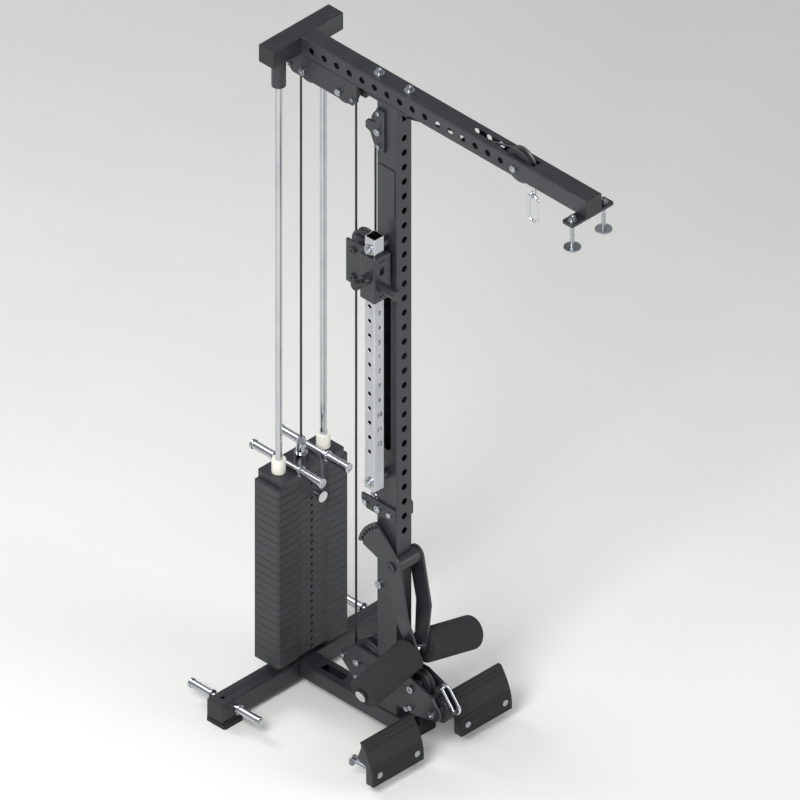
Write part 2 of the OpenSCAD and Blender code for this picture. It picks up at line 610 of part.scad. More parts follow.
module low_cable_run() color("#17181a") {
  cable(concat([[strand_rear, split_low]], arc(low_f, low_z, low_r, 180, 270 + low_slope, 6),
    arc(duct_f, duct_z, low_r, 270 + low_slope, exit_a, 3), [low_ball - (ball_d / 2 + gap) * [cos(exit_a - 270), sin(exit_a - 270)]]));
  at(low_ball[0], low_ball[1]) sphere(d = ball_d, $fn = 32);
  difference() {
    union() {
      at(strand_front, split_low - 12) cylinder(d = cable_d, h = 12);
      at(strand_front, anchor_z) cylinder(d = 16, h = split_low - 10 - anchor_z);
      at(strand_front, anchor_z) rod_along_x(30, 14);
    }
    at(strand_front, anchor_z) rod_along_x(axle_d + 2 * fit, 20);
  }
}
module stack_strand() color("#17181a") strand(0, terminal_z, top_pulley_z - lead);
module lat_strand() color("#17181a") strand(lat_f, lat_ball_z + ball_d / 2 + 0.1, boom_z - lead);
module upper_strands() color("#17181a") {
  strand(strand_rear, upper_z + lead, split_high);
  strand(strand_front, upper_z + lead, split_high);
}
module lower_strands() color("#17181a") {
  strand(strand_rear, split_low, lower_z - lead);
  strand(strand_front, split_low, lower_z - lead);
}
module carriage_cables() color("#17181a") {
  cable(concat([[strand_rear, upper_z + lead]], arc(carriage_f, upper_z, small_r, 180, 360, 12),
    [[strand_front, upper_z + lead]]));
  cable(concat([[strand_rear, lower_z - lead]], arc(carriage_f, lower_z, small_r, 180, 0, 12),
    [[strand_front, lower_z - lead]]));
}
// Closed loop of a carabiner hanging down from the origin in the YZ plane
link_r = 17;
link_len = 56;
link_d = 8.5;
module carabiner() {
  for (e = [0, 1]) translate([0, 0, -link_r - e * link_len]) rotate([0, e * 180, 0]) rotate([90, 0, 90])
    rotate_extrude(angle = 180, $fn = 48) translate([link_r, 0]) circle(d = link_d, $fn = 24);
  translate([0, link_r, -link_r - link_len]) cylinder(d = link_d, h = link_len);
  translate([0, -link_r, -link_r - link_len + gap]) cylinder(d = link_d - 1.5, h = link_len - 2 * gap);
}
module lat_carabiner() color("#b9bdc2") at(lat_f, lat_ball_z) {
  sphere(d = ball_d, $fn = 32);
  translate([0, 0, -ball_d / 2 - 10]) cylinder(d = 9, h = 14);
  translate([0, 0, -ball_d / 2 - 18]) rotate([90, 0, 0]) rotate_extrude($fn = 40)
    translate([11, 0]) circle(d = 6, $fn = 20);
  translate([0, 0, -ball_d / 2 - 21.4]) carabiner();
}
module low_carabiner() color("#b9bdc2") {
  at(low_ball[0], low_ball[1]) rotate([45, 0, 0]) {
    translate([0, 0, ball_d / 2 + gap]) cylinder(d = 9, h = 7);
    translate([0, 0, ball_d / 2 + 17]) rotate([90, 0, 0]) rotate_extrude($fn = 40)
      translate([11, 0]) circle(d = 6, $fn = 20);
  }
  at(low_ball[0] + 23, low_ball[1] + 27) rotate([-40, 0, 0]) translate([0, 0, 4]) carabiner();
}
cage_x = pulley_w / 2 + 3;
cage_t = 5;
module carriage_sleeve() color("#202224") {
  difference() {
    at(upright_reach, carriage_z + carriage_len / 2, -rail_x)
      linear_extrude(carriage_len, center = true) difference() {
        rounded(sleeve, sleeve, 5);
        square([rail + 2 * gap, rail + 2 * gap], center = true);
      }
    at(upright_reach + sleeve / 2, carriage_z + 100, -rail_x) cube([18, 30, 26], center = true);
    at(upright_reach, rail_pin_z, -rail_x - sleeve / 2) rod_along_x(12.2, 30);
    for (z = [16, carriage_len - 16]) at(upright_reach + sleeve / 2, carriage_z + z, -rail_x)
      cube([26, 4, 4], center = true);
  }
  difference() {
    side_plate(sleeve / 2 - rail_x + plate_s / 2, plate_s)
      polygon([[228, lower_z - 26], [287, lower_z - 26], [upright_reach - half, carriage_z + 6],
        [upright_reach + sleeve / 2 - 4, carriage_z + 6], [upright_reach + sleeve / 2 - 4, carriage_z + carriage_len - 6],
        [upright_reach - half, carriage_z + carriage_len - 6], [287, upper_z + 26], [228, upper_z + 26]]);
    for (z = [lower_z, upper_z]) at(carriage_f, z) rod_along_x(axle_d + 2 * fit, 120);
  }
  for (s = [-1, 1]) difference() {
    side_plate(s * (cage_x + cage_t / 2), cage_t) translate([228, lower_z - 26])
      square([59, upper_z - lower_z + 52]);
    for (z = [lower_z, upper_z]) at(carriage_f, z) rod_along_x(axle_d + 2 * fit, 120);
  }
  for (z = [lower_z, upper_z]) at(carriage_f, z) {
    x0 = sleeve / 2 - rail_x;
    translate([(x0 + cage_x + cage_t) / 2, 0, 0]) rod_along_x(axle_d, cage_x + cage_t - x0);
    for (s = [-1, 1]) translate([s * (cage_x + pulley_w / 2 + gap) / 2, 0, 0])
      rod_along_x(axle_d + 8, cage_x - pulley_w / 2 - gap);
    translate([(x0 + plate_s - cage_x - cage_t) / 2, 0, 0]) difference() {
      rod_along_x(24, -x0 - plate_s - cage_x - cage_t);
      rod_along_x(axle_d + 2 * fit, 60);
    }
    translate([cage_x + cage_t, 0, 0]) rotate([0, 90, 0]) screw_head(22, 8);
    translate([x0, 0, 0]) rotate([0, -90, 0]) screw_head(22, 8);
  }
  at(upright_reach + sleeve / 2 + 31, carriage_z + 45, -rail_x) {
    rod_along_y(30, 62);
    translate([0, -27, 0]) rod_along_y(34, 8);
  }
  at(upright_reach, rail_pin_z, -rail_x - sleeve / 2 - 9) difference() {
    rod_along_x(32, 18);
    rod_along_x(12.2, 20);
  }
}
module pop_pin() color("#1b1c1e") at(upright_reach, rail_pin_z, -rail_x - sleeve / 2) {
  translate([-19, 0, 0]) rod_along_x(12, 42);
  translate([-42, 0, 0]) rod_along_x(31, 16);
}
module front_pulley() color("#2d2f33") at(front_f, boom_z) sheave(big_r);
module mid_pulley() color("#2d2f33") at(mid_f, mid_z) sheave(big_r);
module top_pulley_rear() color("#2d2f33") at(small_r, top_pulley_z) sheave(small_r);
module top_pulley_front() color("#2d2f33") at(top_front_f, top_pulley_z) sheave(small_r);
module carriage_pulley_upper() color("#2d2f33") at(carriage_f, upper_z) sheave(small_r);
module carriage_pulley_lower() color("#2d2f33") at(carriage_f, lower_z) sheave(small_r);
module low_pulley_rear() color("#2d2f33") at(low_f, low_z) sheave(low_r);
module low_pulley_duct() color("#2d2f33") at(duct_f, duct_z) sheave(low_r);
module low_pulley_tip() color("#2d2f33") at(tip_f, tip_z) sheave(tip_r);

base_crossbar();
tube_end_caps();
rear_feet();
base_spine();
front_foot();
upright();
upright_plates();
boom();
top_crossbar();
rod_sockets();
guide_rods();
stack_bumpers();
weight_plates();
base_band_pegs();
top_pulley_plates();
mid_pulley_plates();
cable_anchor_plates();
low_pulley_plates();
pulley_axles();
frame_bolts();
rack_clamp_plate();
rack_clamp_bolts();
adjuster_rail();
rail_spacers();
pivot_tube();
foot_plates();
foot_treads();
foot_plate_rods();
lat_cable_run();
low_cable_run();
stack_strand();
lat_strand();
upper_strands();
lower_strands();
head_plate();
lifted_plates();
selector_stem();
rod_bushings();
stack_band_pegs();
pin_tether();
selector_pin();
lat_carabiner();
low_carabiner();
carriage_sleeve();
pop_pin();
carriage_cables();
front_pulley();
mid_pulley();
top_pulley_rear();
top_pulley_front();
carriage_pulley_upper();
carriage_pulley_lower();
low_pulley_rear();
low_pulley_duct();
low_pulley_tip();
lever_arms();
roller_bar();
foam_roller_left();
foam_roller_right();
lock_pin();
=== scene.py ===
# %% [markdown]
# # Lat pulldown and low row tower
# A cable machine that bolts to a training rack. The steel frame, weights,
# pulleys and bolts come packed from CAD as a fixed frame. This lesson gives
# each of them a finish, and then makes the soft and fine pieces that mesh
# tools shape better: foam rollers, cables, the curly lanyard and numbers.

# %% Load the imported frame
import json
import math

import bmesh
import bpy
from mathutils import Matrix, Vector


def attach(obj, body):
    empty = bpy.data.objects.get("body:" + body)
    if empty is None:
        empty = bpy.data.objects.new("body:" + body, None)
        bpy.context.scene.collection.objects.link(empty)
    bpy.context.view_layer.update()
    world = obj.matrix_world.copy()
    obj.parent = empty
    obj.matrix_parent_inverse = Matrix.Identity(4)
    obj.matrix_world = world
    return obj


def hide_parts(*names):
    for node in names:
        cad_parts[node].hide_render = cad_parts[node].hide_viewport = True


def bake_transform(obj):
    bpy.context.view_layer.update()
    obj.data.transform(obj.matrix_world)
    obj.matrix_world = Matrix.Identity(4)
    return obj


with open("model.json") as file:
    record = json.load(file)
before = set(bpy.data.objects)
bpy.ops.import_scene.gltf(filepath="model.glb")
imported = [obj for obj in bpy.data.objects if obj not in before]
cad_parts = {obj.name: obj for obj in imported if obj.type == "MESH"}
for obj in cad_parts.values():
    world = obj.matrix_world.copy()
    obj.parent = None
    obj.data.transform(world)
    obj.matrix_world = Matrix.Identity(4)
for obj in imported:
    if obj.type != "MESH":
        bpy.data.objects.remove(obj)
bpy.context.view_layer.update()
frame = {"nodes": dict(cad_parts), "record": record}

# %% [markdown]
# Places on the machine are given as reach, forward of the weight stack's
# centre, and height, both in millimetres, because that is how a maker's
# drawing would dimension it. One function turns them to Blender's metres.
# A second looks up where a CAD hinge lies, so the cables and rollers made
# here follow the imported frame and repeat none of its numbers.

# %% Places on the machine
MM = 0.001
STACK_Y = 512.0
hinges = {j["name"]: j for j in frame["record"]["behaviour"]["joints"] if j["type"] == "hinge"}


def place(reach, height, across=0.0):
    """A point in metres from its reach, height and place across in mm."""
    return Vector((across, STACK_Y - reach, height)) * MM


def hinge_place(name):
    """The reach and height of a hinge's axis in mm."""
    _, along, height = hinges[name]["pos_m"]
    return STACK_Y - along / MM, height / MM


print("hinges", len(hinges), "stack centre", place(0, 0))

# %% [markdown]
# ## Colour and node helpers
# Colours are written as the sRGB hex values a painter would pick, and turned
# to Blender's linear values in one place. One helper adds a shader node,
# sets it up and links it, so that each material reads like a recipe.

# %% Helpers for materials


def linear(hex_colour):
    """Linear RGBA of an sRGB hex colour."""
    parts = [int(hex_colour[i:i + 2], 16) / 255 for i in (1, 3, 5)]
    return [c / 12.92 if c <= 0.04045 else ((c + 0.055) / 1.055) ** 2.4 for c in parts] + [1.0]


def add_node(tree, kind, inputs=None, **settings):
    """Adds a shader node. An input that is a socket is linked, and any other is set."""
    node = tree.nodes.new("ShaderNode" + kind)
    for name, value in settings.items():
        setattr(node, name, value)
    for name, value in (inputs or {}).items():
        if isinstance(value, bpy.types.NodeSocket):
            tree.links.new(value, node.inputs[name])
        else:
            node.inputs[name].default_value = value
    return node


print("middle grey is", round(linear("#808080")[0], 3), "in linear light")

# %% [markdown]
# Most finishes share one structure: a colour that drifts between two tones
# in soft patches, a roughness that drifts with it, and a fine grain that
# lifts the surface a little. What differs is the size of the patches, the
# kind and size of the grain and how metallic it is. A picture of each
# finish could be wrapped round the pieces, but it would need UV maps and
# would stretch, while noise in object space fits every piece at one scale.

# %% One recipe for a surface
DRIFT_FROM, DRIFT_TO = 0.3, 0.7
BUMP_STRENGTH = 0.6


def surface(name, tones, patch_mm, rough, grain_mm, height_mm, metallic=0.0, cells=False):
    """A material with drifting tone and roughness and a grain of bumps."""
    material = bpy.data.materials.new(name)
    material.use_nodes = True
    tree = material.node_tree
    shader = tree.nodes["Principled BSDF"]
    where = add_node(tree, "TexCoord").outputs["Object"]
    patches = add_node(tree, "TexNoise", {"Vector": where, "Scale": 1 / (patch_mm * MM), "Detail": 5.0})
    ramp = add_node(tree, "ValToRGB", {"Fac": patches.outputs["Fac"]})
    for element, spot, tone in zip(ramp.color_ramp.elements, (DRIFT_FROM, DRIFT_TO), tones):
        element.position = spot
        element.color = linear(tone)
    tree.links.new(ramp.outputs["Color"], shader.inputs["Base Color"])
    drift = add_node(tree, "MapRange", {"Value": patches.outputs["Fac"], "From Min": DRIFT_FROM,
                                        "From Max": DRIFT_TO, "To Min": rough[0], "To Max": rough[1]})
    tree.links.new(drift.outputs["Result"], shader.inputs["Roughness"])
    if cells:
        grain = add_node(tree, "TexVoronoi", {"Vector": where, "Scale": 1 / (grain_mm * MM)})
        lift = grain.outputs["Distance"]
    else:
        grain = add_node(tree, "TexNoise", {"Vector": where, "Scale": 1 / (grain_mm * MM), "Detail": 3.0})
        lift = grain.outputs["Fac"]
    bump = add_node(tree, "Bump", {"Height": lift, "Distance": height_mm * MM, "Strength": BUMP_STRENGTH})
    tree.links.new(bump.outputs["Normal"], shader.inputs["Normal"])
    shader.inputs["Metallic"].default_value = metallic
    return material


print("tones drift between", DRIFT_FROM, "and", DRIFT_TO, "of the noise")

# %% [markdown]
# ## The finishes
# The frame is powder coated: dry paint baked into a tough, slightly pebbled
# skin, semi-matt. Real pebbles are about 0.5 mm, and here they are 2.5 mm so
# that they show. The guide rods, the rail and the roller bar are
# hard-chromed steel, which reflects the pale studio almost as a mirror. The
# bolts are zinc plated with a dull patchy shine. The weight plates are cast
# iron with a coarse skin under thin enamel, and the carabiners and the
# selector pin are forged and polished.

# %% Paint and metal
powder_coat = surface("powder coat, textured black", ("#222327", "#2a2c30"),
                      patch_mm=60, rough=(0.34, 0.44), grain_mm=2.5, height_mm=0.10)
chrome = surface("hard chrome on ground steel", ("#b4b7bb", "#c3c5c9"),
                 patch_mm=80, rough=(0.10, 0.20), grain_mm=6, height_mm=0.01, metallic=1.0)
zinc = surface("zinc plated steel", ("#9b9fa4", "#b4b8bc"),
               patch_mm=7, rough=(0.28, 0.42), grain_mm=2, height_mm=0.03, metallic=1.0)
enamel = surface("enamelled cast iron", ("#2a2c2f", "#34373a"),
                 patch_mm=25, rough=(0.5, 0.62), grain_mm=3.5, height_mm=0.18)
forged = surface("polished forged steel", ("#c2c5c9", "#d0d3d6"),
                 patch_mm=20, rough=(0.16, 0.26), grain_mm=4, height_mm=0.02, metallic=1.0)
print("metals", [m.name for m in (powder_coat, chrome, zinc, enamel, forged)])

# %% [markdown]
# The rubber feet and treads are moulded and matt. The tubes' end caps are
# injection moulded. The pulleys are machined from black cast nylon with a
# soft sheen, the bushings are white nylon, and the cable is steel rope under
# a smooth extruded nylon sheath. The lanyard's cord is coiled polyurethane,
# a little paler than the frame so that its turns can be told apart. The
# rollers are closed-cell foam, whose cut cells give a fine dry grain: real
# cells are under 1 mm, and here they are 2.6 mm so that they show.

# %% Rubber, nylon and foam
rubber = surface("moulded rubber", ("#141414", "#1b1b1c"),
                 patch_mm=15, rough=(0.72, 0.84), grain_mm=1.8, height_mm=0.08)
tread_rubber = surface("ribbed tread rubber", ("#161616", "#1f2020"),
                       patch_mm=12, rough=(0.7, 0.85), grain_mm=3.2, height_mm=0.25, cells=True)
cap_plastic = surface("moulded polypropylene", ("#151617", "#1b1c1d"),
                      patch_mm=30, rough=(0.45, 0.55), grain_mm=1.6, height_mm=0.04)
pulley_nylon = surface("machined cast nylon", ("#26272a", "#2f3134"),
                       patch_mm=18, rough=(0.36, 0.48), grain_mm=1.5, height_mm=0.03)
bushing_nylon = surface("natural white nylon", ("#dcd9cf", "#e6e4dc"),
                        patch_mm=14, rough=(0.38, 0.5), grain_mm=2, height_mm=0.03)
sheath = surface("extruded nylon sheath", ("#141516", "#1a1b1d"),
                 patch_mm=40, rough=(0.26, 0.36), grain_mm=3, height_mm=0.03)
cord_skin = surface("coiled polyurethane", ("#4b4e53", "#565a5f"),
                    patch_mm=10, rough=(0.34, 0.44), grain_mm=1, height_mm=0.02)
foam = surface("closed-cell foam", ("#191a1c", "#222426"),
               patch_mm=9, rough=(0.82, 0.94), grain_mm=2.6, height_mm=0.45, cells=True)
number_ink = surface("screen-printed ink", ("#232427", "#2b2c2f"),
                     patch_mm=6, rough=(0.55, 0.65), grain_mm=1, height_mm=0.01)
print("soft finishes", [m.name for m in (rubber, tread_rubber, cap_plastic, pulley_nylon, sheath, foam)])

# %% [markdown]
# ## Dressing the CAD nodes
# The record says which material slot each node has, and the finishes follow
# it. The nodes arrive as loose flat triangles, so a Weld joins them, a narrow
# Bevel eases every edge sharper than 30 degrees, and Weighted Normals shade
# the wide faces flat: then a round bar looks round and a plate stays crisp.
# Real steel has no knife edges either, and the eased ones catch the light.

# %% Give every node its finish
FINISH_OF_SLOT = {
    "powder_coat": powder_coat, "chrome": chrome, "zinc": zinc, "cast_plate": enamel,
    "rubber": rubber, "plastic": cap_plastic, "nylon": pulley_nylon, "cable": sheath,
    "foam": foam, "bushing": bushing_nylon,
}
FINISH_OF_NODE = {"foot_treads": tread_rubber, "lat_carabiner": forged, "low_carabiner": forged,
                  "pin_tether": cord_skin, "selector_pin": forged}
WELD_GAP = 0.02
EASE = 0.7
SHARP = 30.0
slot_of_node = {entry["node"]: entry["material_slot"] for entry in frame["record"]["subparts"]}


def weld_and_ease(piece):
    """Joins a node's triangles and eases its sharp edges with a small shaded bevel."""
    weld = piece.modifiers.new("weld", "WELD")
    weld.merge_threshold = WELD_GAP * MM
    bevel = piece.modifiers.new("eased edges", "BEVEL")
    bevel.width = EASE * MM
    bevel.segments = 2
    bevel.limit_method = "ANGLE"
    bevel.angle_limit = math.radians(SHARP)
    bevel.use_clamp_overlap = True
    weighted = piece.modifiers.new("flat faces stay flat", "WEIGHTED_NORMAL")
    weighted.mode = "FACE_AREA"
    weighted.weight = 100
    piece.data.polygons.foreach_set("use_smooth", [True] * len(piece.data.polygons))


for node_name, node in frame["nodes"].items():
    node.data.materials.clear()
    node.data.materials.append(FINISH_OF_NODE.get(node_name, FINISH_OF_SLOT[slot_of_node[node_name]]))
    weld_and_ease(node)
print("dressed", len(frame["nodes"]), "nodes")

# %% [markdown]
# ## Making pieces
# A new piece starts as a bmesh, Blender's mesh for editing. This helper
# closes it into an object at the origin, gives it its finish, smooths it and
# lets it ride on its CAD body. An Edge Split keeps its real corners crisp.

# %% Helper for new pieces
CLOSE = 1e-6


def finish_piece(mesh_in_work, name, material, body, sharp=35.0):
    """Turns a bmesh into a named piece that rides on a CAD body."""
    bmesh.ops.remove_doubles(mesh_in_work, verts=mesh_in_work.verts, dist=CLOSE)
    bmesh.ops.recalc_face_normals(mesh_in_work, faces=mesh_in_work.faces)
    mesh = bpy.data.meshes.new(name)
    mesh_in_work.to_mesh(mesh)
    mesh_in_work.free()
    piece = bpy.data.objects.new(name, mesh)
    bpy.context.scene.collection.objects.link(piece)
    mesh.materials.append(material)
    mesh.polygons.foreach_set("use_smooth", [True] * len(mesh.polygons))
    split = piece.modifiers.new("sharp edges", "EDGE_SPLIT")
    split.split_angle = math.radians(sharp)
    split.use_edge_sharp = False
    if body:
        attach(piece, body)
    return piece


print("points closer than", CLOSE, "m are merged")

# %% [markdown]
# ## Foam rollers
# Each roller is a tube of foam pushed onto the chromed stub, with soft
# rounded ends that dip towards the bore. A cylinder could be bevelled and
# its ends pushed in, but a lathe gives both at once: half of the section is
# drawn and spun once round the axis. The CAD joint says where the axis lies,
# so the roller turns truly on it.

# %% Spin the foam rollers
ROLLER_R = 50.0
ROLLER_HALF = 99.7
BORE_R = 12.6
END_ROUND = 9.0
ROUND_STEPS, SIDE_STEPS, ROLLER_STEPS = 8, 24, 72
# The end face at four radii, and how deep it lies there
END_DIP = [(30.0, 0.6), (22.0, 2.0), (BORE_R + 1.5, 3.0), (BORE_R, 4.2)]


def roller_section():
    """Half of a roller's section, as distances along and from the axis in mm."""
    straight = ROLLER_HALF - END_ROUND
    turns = [math.radians(90 * i / ROUND_STEPS) for i in range(ROUND_STEPS + 1)]
    corner = [(straight + END_ROUND * math.sin(t), ROLLER_R - END_ROUND + END_ROUND * math.cos(t))
              for t in turns]
    side = [(-straight + i * 2 * straight / SIDE_STEPS, ROLLER_R) for i in range(SIDE_STEPS + 1)]
    right = corner + [(ROLLER_HALF - deep, radius) for radius, deep in END_DIP]
    left = [(-along, out) for along, out in reversed(right)]
    return left + side[1:-1] + right


def spin_roller(name, body, joint_name):
    """Lathes a roller about its CAD joint's axis."""
    joint = hinges[joint_name]
    work = bmesh.new()
    ring = [work.verts.new((along * MM, 0.0, out * MM)) for along, out in roller_section()]
    edges = [work.edges.new(two) for two in zip(ring, ring[1:])]
    edges.append(work.edges.new((ring[-1], ring[0])))
    bmesh.ops.spin(work, geom=ring + edges, axis=(1, 0, 0), cent=(0, 0, 0), steps=ROLLER_STEPS,
                   angle=2 * math.pi, use_merge=True)
    turn = Vector((1, 0, 0)).rotation_difference(Vector(joint["axis"])).to_matrix().to_4x4()
    bmesh.ops.transform(work, matrix=Matrix.Translation(joint["pos_m"]) @ turn, verts=work.verts)
    roller = finish_piece(work, name, foam, body)
    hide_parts(body)
    print(name, "faces", len(roller.data.polygons))


spin_roller("roller_foam_left", "foam_roller_left", "roller_left_spin")
spin_roller("roller_foam_right", "foam_roller_right", "roller_right_spin")

# %% [markdown]
# ## Cables
# A cable is a long thin tube that wraps each pulley in an arc and runs
# straight between them. Its centre line is written from the pulleys' places
# and radii. Rings of vertices could be extruded along it, but a curve with a
# round bevel keeps its section square to the line by itself. A stretch whose
# length changes as the machine moves is a piece of its own, which rides on
# no body.

# %% Helpers for cables
CABLE = 7.0


def arc(centre, radius, start, end, steps):
    """Points round a pulley from one angle to another, in reach and height."""
    turns = [math.radians(start + (end - start) * i / steps) for i in range(steps + 1)]
    return [(centre[0] + radius * math.cos(t), centre[1] + radius * math.sin(t)) for t in turns]


def climb(low, high):
    """The angle in degrees at which a line rises from one pulley to the next."""
    return math.degrees(math.atan2(high[1] - low[1], high[0] - low[0]))


def tube_piece(name, points, diameter, material, body, sides=5):
    """A tube along points in metres, as a mesh at the origin."""
    curve = bpy.data.curves.new(name + "_line", "CURVE")
    curve.dimensions = "3D"
    spline = curve.splines.new("POLY")
    spline.points.add(len(points) - 1)
    for point, spot in zip(spline.points, points):
        point.co = (*spot, 1.0)
    curve.bevel_depth = diameter / 2 * MM
    curve.bevel_resolution = sides
    curve.use_fill_caps = True
    drawn = bpy.data.objects.new(name + "_line", curve)
    bpy.context.scene.collection.objects.link(drawn)
    work = bmesh.new()
    work.from_mesh(drawn.to_mesh())
    drawn.to_mesh_clear()
    bpy.data.objects.remove(drawn)
    bpy.data.curves.remove(curve)
    return finish_piece(work, name, material, body, sharp=50.0)


def cable_piece(name, line, body, replaced):
    """A cable along reach and height, which stands for a CAD cable."""
    piece = tube_piece(name, [place(*p) for p in line], CABLE, sheath, body)
    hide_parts(replaced)
    return piece


print("cable", CABLE, "mm thick")

# %% [markdown]
# The lat cable comes down in front of the nose pulley, runs back under the
# boom over a second large pulley to the travelling carriage, and on over the
# two top pulleys to the weight stack. Each radius is measured to the
# cable's centre in its groove, and a piece ends at a split height, where
# the next one takes over.

# %% The lat cable's fixed runs
SMALL_R, BIG_R, LOW_R = 38.5, 48.0, 43.0
SPLIT_HIGH, SPLIT_LOW, LEAD = 2000.0, 800.0, 1.0
nose, mid = hinge_place("front_pulley_spin"), hinge_place("mid_pulley_spin")
top_front, top_rear = hinge_place("top_front_spin"), hinge_place("top_rear_spin")
upper, lower = hinge_place("upper_spin"), hinge_place("lower_spin")
rear_f, front_f = upper[0] - SMALL_R, upper[0] + SMALL_R
lat_f = nose[0] + BIG_R
nose_climb = climb(mid, nose)

nose_run = ([(lat_f, nose[1] - LEAD)] + arc(nose, BIG_R, 0, 90 + nose_climb, 28)
            + arc(mid, BIG_R, 90 + nose_climb, 180, 20) + [(front_f, SPLIT_HIGH)])
stack_run = ([(rear_f, SPLIT_HIGH)] + arc(top_front, SMALL_R, 0, 90, 18)
             + arc(top_rear, SMALL_R, 90, 180, 18) + [(0, top_rear[1] - LEAD)])
cable_piece("lat_cable_nose_run", nose_run, "frame", "lat_cable_run")
cable_piece("lat_cable_stack_run", stack_run, "frame", "lat_cable_run")
print("climb of the lat cable", round(nose_climb, 2), "degrees")

# %% [markdown]
# The low cable starts at an anchor on the upright, hangs in the carriage's
# lower pulley and leaves through two low pulleys at the front. It comes off
# the second one at a slant and ends in the ball stop.

# %% The low cable's fixed run
BALL_R = 13.0
BALL_CLEAR = 0.3
EXIT = 316.0
TAIL = 12.0
low_rear, duct, ball_place = (hinge_place(name) for name in ("low_rear_spin", "duct_spin", "low_swing"))
low_climb = climb(low_rear, duct)
slant = math.radians(EXIT - 270)
low_end = (ball_place[0] - (BALL_R + BALL_CLEAR) * math.cos(slant),
           ball_place[1] - (BALL_R + BALL_CLEAR) * math.sin(slant))
low_run = ([(rear_f, SPLIT_LOW)] + arc(low_rear, LOW_R, 180, 270 + low_climb, 24)
           + arc(duct, LOW_R, 270 + low_climb, EXIT, 12) + [low_end])
cable_piece("low_cable_front_run", low_run, "frame", "low_cable_run")
cable_piece("low_cable_anchor_tail", [(front_f, SPLIT_LOW - TAIL), (front_f, SPLIT_LOW)], "frame",
            "low_cable_run")
print("climb of the low cable", round(low_climb, 2), "degrees")

# %% [markdown]
# The loops that the carriage hangs in ride with it. On the machine the four
# upright stretches beside them grow and shrink as it travels, and the stack's
# and the lat end's stretches do the same between their moving end and the
# frame; here each is drawn where it stands and rides on no body.

# %% Carriage loops and the stretches that change length
STRETCH_ROWS = 24
CONE_TOP = 825.6
LAT_BALL_TOP = 2163.1
upper_loop = ([(rear_f, upper[1] + LEAD)] + arc(upper, SMALL_R, 180, 360, 36)
              + [(front_f, upper[1] + LEAD)])
lower_loop = ([(rear_f, lower[1] - LEAD)] + arc(lower, SMALL_R, 180, 0, 36)
              + [(front_f, lower[1] - LEAD)])
cable_piece("carriage_upper_loop", upper_loop, "carriage", "carriage_cables")
cable_piece("carriage_lower_loop", lower_loop, "carriage", "carriage_cables")


def stretch(name, reach, low, high, replaced):
    """An upright cable stretch drawn in rows, which rides on no body."""
    line = [(reach, low + (high - low) * i / STRETCH_ROWS) for i in range(STRETCH_ROWS + 1)]
    piece = cable_piece(name, line, None, replaced)
    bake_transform(piece)
    print(name, round(high - low), "mm")


stretch("stack_cable_stretch", 0, CONE_TOP, top_rear[1] - LEAD, "stack_strand")
stretch("lat_cable_stretch", lat_f, LAT_BALL_TOP, nose[1] - LEAD, "lat_strand")
for side, reach in (("rear", rear_f), ("front", front_f)):
    stretch(f"upper_{side}_stretch", reach, upper[1] + LEAD, SPLIT_HIGH, "upper_strands")
    stretch(f"lower_{side}_stretch", reach, SPLIT_LOW, lower[1] - LEAD, "lower_strands")

# %% [markdown]
# ## Cable ends
# At its ends the rope is swaged into steel fittings. The low cable has a
# rubber ball stop against the guide, with a moulding line round its middle,
# and an eye that turns on the anchor bolt. A sphere and cylinders would
# give the rough forms, but all three are turned or moulded parts, so each is
# a section spun round its axis, with its grooves and chamfers in it.

# %% Ball stop, eye and sleeve
ANCHOR_Z = 767.0
BALL_STEPS = 24
SEAM_DEPTH = 0.35
BALL_TILT = 45.0
SLEEVE = [(0, -2), (7, -2), (8, -1), (8, 15), (7.2, 17), (7.2, 19), (8, 21), (6, 23), (4.2, 23), (0, 23)]
EYE = [(6.1, -7), (14, -7), (15, -6), (15, 6), (14, 7), (6.1, 7), (6.1, -7)]


def lathe(section, steps=48):
    """A bmesh spun round Z from (radius, height) pairs in mm, closed where it meets the axis."""
    work = bmesh.new()
    line = [work.verts.new((r * MM, 0.0, h * MM)) for r, h in section]
    edges = [work.edges.new(two) for two in zip(line, line[1:])]
    bmesh.ops.spin(work, geom=line + edges, axis=(0, 0, 1), cent=(0, 0, 0), steps=steps,
                   angle=2 * math.pi, use_merge=True)
    bmesh.ops.remove_doubles(work, verts=work.verts, dist=CLOSE)
    return work


def set_down(work, spot, turn, about):
    """Turns a bmesh about a letter's axis by degrees and moves it to a point."""
    matrix = Matrix.Translation(spot) @ Matrix.Rotation(math.radians(turn), 4, about)
    bmesh.ops.transform(work, matrix=matrix, verts=work.verts)


def ball_section():
    """Half of the ball's section: an arc with a shallow moulding line at its middle."""
    points = []
    for i in range(1, BALL_STEPS):
        angle = math.radians(-90 + 180 * i / BALL_STEPS)
        radius = BALL_R - SEAM_DEPTH if i == BALL_STEPS // 2 else BALL_R
        points.append((radius * math.cos(angle), radius * math.sin(angle)))
    return [(0.0, -BALL_R)] + points + [(0.0, BALL_R)]


def cable_end(name, section, spot, turn, about, material):
    """A turned fitting on the frame that stands for a part of the low cable."""
    work = lathe(section)
    set_down(work, spot, turn, about)
    fitting = finish_piece(work, name, material, "frame")
    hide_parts("low_cable_run")
    print(name, "faces", len(fitting.data.polygons))


cable_end("low_cable_ball_stop", ball_section(), place(*ball_place), BALL_TILT, "X", rubber)
cable_end("anchor_swaged_sleeve", SLEEVE, place(front_f, ANCHOR_Z), 0.0, "X", zinc)
cable_end("anchor_eye", EYE, place(front_f, ANCHOR_Z), 90.0, "Y", zinc)

# %% [markdown]
# ## Curly lanyard
# The selector pin hangs on a coiled cord so that it can't be lost. Its guide
# line leaves the stem's collar and drops to the pin's head, and the cord
# winds round that line with a steady pitch. A Screw modifier winds only a
# straight coil, so the turns are worked out along the bent line. The last
# ones draw in to the line, so both ends meet their fittings square.

